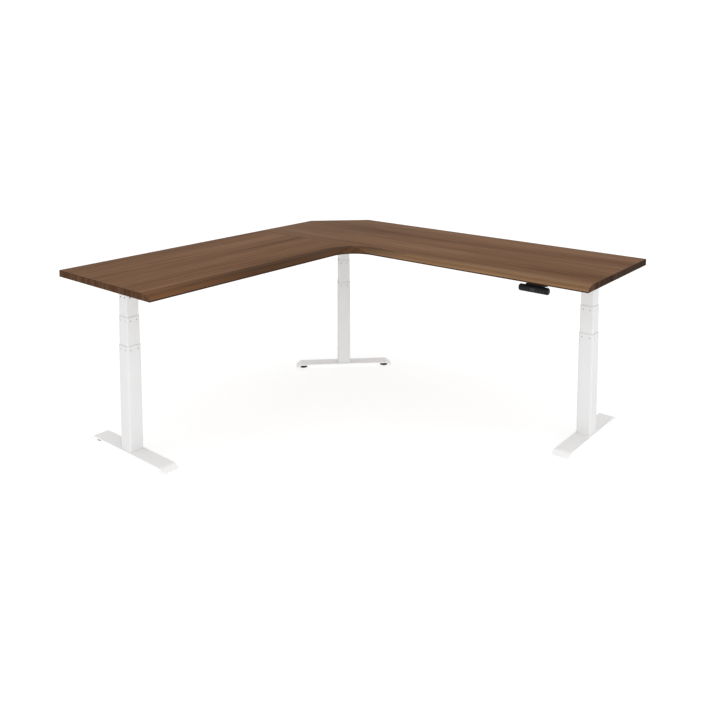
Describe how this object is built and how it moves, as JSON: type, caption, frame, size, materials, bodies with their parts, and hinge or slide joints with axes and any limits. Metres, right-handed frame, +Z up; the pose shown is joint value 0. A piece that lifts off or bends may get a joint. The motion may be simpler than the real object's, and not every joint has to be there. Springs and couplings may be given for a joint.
{
  "type": "height adjustable corner desk",
  "caption": "L-shaped sit-stand desk: walnut desktops joined at the corner on a white steel frame with telescopic lifting columns and a black hand control.",
  "frame": {"origin": "on the floor, at the middle of the desk's bounding box in plan", "axes": "+X along the main wing towards its free end, +Y towards the back edge of the main wing, +Z up; the return wing runs towards -Y at the -X side"},
  "size_m": [2.04, 2.005, 0.847],
  "materials": {
    "walnut": "satin lacquered walnut",
    "white_powder_coat": "fine-textured white powder coat",
    "zinc_steel": "zinc plated",
    "bright_steel": "rolled and ground",
    "black_glide": "moulded, matt",
    "black_moulding": "moulded, fine grain",
    "dark_moulding": "glass-filled moulding",
    "grey_slide_plastic": "acetal, natural sheen",
    "nut_plastic": "acetal",
    "circuit_board": "green solder mask",
    "button_grey": "moulded"
  },
  "bodies": {
    "left_base": {"left_foot": "white_powder_coat", "left_foot_bolts": "zinc_steel", "left_lower_tube": "white_powder_coat", "left_lower_bush": "grey_slide_plastic", "left_spindle_post": "zinc_steel", "left_post_nut": "nut_plastic"},
    "left_middle": {"left_mid_tube": "white_powder_coat", "left_mid_slide_rings": "grey_slide_plastic", "left_bearing_block": "dark_moulding"},
    "left_outer_spindle": {"left_outer_screw": "bright_steel"},
    "left_inner_spindle": {"left_inner_screw": "bright_steel"},
    "left_glide_a": {"left_glide_a": "black_glide"},
    "left_glide_b": {"left_glide_b": "black_glide"},
    "right_base": {"right_foot": "white_powder_coat", "right_foot_bolts": "zinc_steel", "right_lower_tube": "white_powder_coat", "right_lower_bush": "grey_slide_plastic", "right_spindle_post": "zinc_steel", "right_post_nut": "nut_plastic"},
    "right_middle": {"right_mid_tube": "white_powder_coat", "right_mid_slide_rings": "grey_slide_plastic", "right_bearing_block": "dark_moulding"},
    "right_outer_spindle": {"right_outer_screw": "bright_steel"},
    "right_inner_spindle": {"right_inner_screw": "bright_steel"},
    "right_glide_a": {"right_glide_a": "black_glide"},
    "right_glide_b": {"right_glide_b": "black_glide"},
    "corner_base": {"corner_foot": "white_powder_coat", "corner_foot_bolts": "zinc_steel", "corner_lower_tube": "white_powder_coat", "corner_lower_bush": "grey_slide_plastic", "corner_spindle_post": "zinc_steel", "corner_post_nut": "nut_plastic"},
    "corner_middle": {"corner_mid_tube": "white_powder_coat", "corner_mid_slide_rings": "grey_slide_plastic", "corner_bearing_block": "dark_moulding"},
    "corner_outer_spindle": {"corner_outer_screw": "bright_steel"},
    "corner_inner_spindle": {"corner_inner_screw": "bright_steel"},
    "corner_glide_a": {"corner_glide_a": "black_glide"},
    "corner_glide_b": {"corner_glide_b": "black_glide"},
    "top": {"main_top": "walnut", "return_top": "walnut", "seam_plates": "zinc_steel", "main_rails": "white_powder_coat", "return_rails": "white_powder_coat", "end_brackets": "white_powder_coat", "frame_bolts": "zinc_steel", "top_screws": "zinc_steel", "upper_slide_rings": "grey_slide_plastic", "lift_motors": "dark_moulding", "gearboxes": "bright_steel", "control_box_shell": "black_moulding", "control_box_cover": "black_moulding", "control_board": "circuit_board", "keypad_bracket": "black_moulding", "left_upper_tube": "white_powder_coat", "right_upper_tube": "white_powder_coat", "corner_upper_tube": "white_powder_coat"},
    "hand_control": {"keypad_handle": "black_moulding", "keypad_end_caps": "black_moulding"},
    "memory_button": {"memory_button": "button_grey"}
  },
  "joints": [
    {"name": "lift", "type": "slide", "parent": "corner_base", "child": "corner_middle", "axis": [0, 0, 1], "range_m": [-0.12, 0.205]},
    {"name": "corner_top_stage", "type": "slide", "parent": "corner_middle", "child": "top", "axis": [0, 0, 1], "range_m": [-0.12, 0.205]},
    {"name": "left_top_stage", "type": "slide", "parent": "top", "child": "left_middle", "axis": [0, 0, -1], "range_m": [-0.12, 0.205]},
    {"name": "left_low_stage", "type": "slide", "parent": "left_middle", "child": "left_base", "axis": [0, 0, -1], "range_m": [-0.12, 0.205]},
    {"name": "right_top_stage", "type": "slide", "parent": "top", "child": "right_middle", "axis": [0, 0, -1], "range_m": [-0.12, 0.205]},
    {"name": "right_low_stage", "type": "slide", "parent": "right_middle", "child": "right_base", "axis": [0, 0, -1], "range_m": [-0.12, 0.205]},
    {"name": "left_outer_screw_turn", "type": "hinge", "parent": "left_middle", "child": "left_outer_spindle", "pos_m": [-0.678, -0.8595, 0.3], "axis": [0, 0, 1], "range_deg": [-2165, 3695]},
    {"name": "left_inner_screw_turn", "type": "hinge", "parent": "top", "child": "left_inner_spindle", "pos_m": [-0.678, -0.8595, 0.5], "axis": [0, 0, 1], "range_deg": [-2165, 3695]},
    {"name": "left_glide_a_screw", "type": "slide", "parent": "left_base", "child": "left_glide_a", "axis": [0, 0, 1], "range_m": [0, 0.005]},
    {"name": "left_glide_b_screw", "type": "slide", "parent": "left_base", "child": "left_glide_b", "axis": [0, 0, 1], "range_m": [0, 0.005]},
    {"name": "right_outer_screw_turn", "type": "hinge", "parent": "right_middle", "child": "right_outer_spindle", "pos_m": [0.877, 0.6605, 0.3], "axis": [0, 0, 1], "range_deg": [-2165, 3695]},
    {"name": "right_inner_screw_turn", "type": "hinge", "parent": "top", "child": "right_inner_spindle", "pos_m": [0.877, 0.6605, 0.5], "axis": [0, 0, 1], "range_deg": [-2165, 3695]},
    {"name": "right_glide_a_screw", "type": "slide", "parent": "right_base", "child": "right_glide_a", "axis": [0, 0, 1], "range_m": [0, 0.005]},
    {"name": "right_glide_b_screw", "type": "slide", "parent": "right_base", "child": "right_glide_b", "axis": [0, 0, 1], "range_m": [0, 0.005]},
    {"name": "corner_outer_screw_turn", "type": "hinge", "parent": "corner_middle", "child": "corner_outer_spindle", "pos_m": [-0.678, 0.6605, 0.3], "axis": [0, 0, 1], "range_deg": [-2165, 3695]},
    {"name": "corner_inner_screw_turn", "type": "hinge", "parent": "top", "child": "corner_inner_spindle", "pos_m": [-0.678, 0.6605, 0.5], "axis": [0, 0, 1], "range_deg": [-2165, 3695]},
    {"name": "corner_glide_a_screw", "type": "slide", "parent": "corner_base", "child": "corner_glide_a", "axis": [0, 0, 1], "range_m": [0, 0.005]},
    {"name": "corner_glide_b_screw", "type": "slide", "parent": "corner_base", "child": "corner_glide_b", "axis": [0, 0, 1], "range_m": [0, 0.005]},
    {"name": "hand_control_tilt", "type": "hinge", "parent": "top", "child": "hand_control", "pos_m": [0.755, 0.3545, 0.804], "axis": [1, 0, 0], "range_deg": [-4, 4], "stiffness_Nm_per_rad": 6},
    {"name": "memory_button_press", "type": "slide", "parent": "hand_control", "child": "memory_button", "axis": [0, 1, 0], "range_m": [0, 0.001], "stiffness_N_per_m": 600}
  ],
  "couplings": [
    {"joint": "corner_top_stage", "follows": "lift", "ratio": 1},
    {"joint": "left_top_stage", "follows": "lift", "ratio": 1},
    {"joint": "left_low_stage", "follows": "lift", "ratio": 1},
    {"joint": "right_top_stage", "follows": "lift", "ratio": 1},
    {"joint": "right_low_stage", "follows": "lift", "ratio": 1},
    {"joint": "left_outer_screw_turn", "follows": "lift", "rad_per_m": 314.16},
    {"joint": "left_inner_screw_turn", "follows": "lift", "rad_per_m": 314.16},
    {"joint": "right_outer_screw_turn", "follows": "lift", "rad_per_m": 314.16},
    {"joint": "right_inner_screw_turn", "follows": "lift", "rad_per_m": 314.16},
    {"joint": "corner_outer_screw_turn", "follows": "lift", "rad_per_m": 314.16},
    {"joint": "corner_inner_screw_turn", "follows": "lift", "rad_per_m": 314.16}
  ]
}
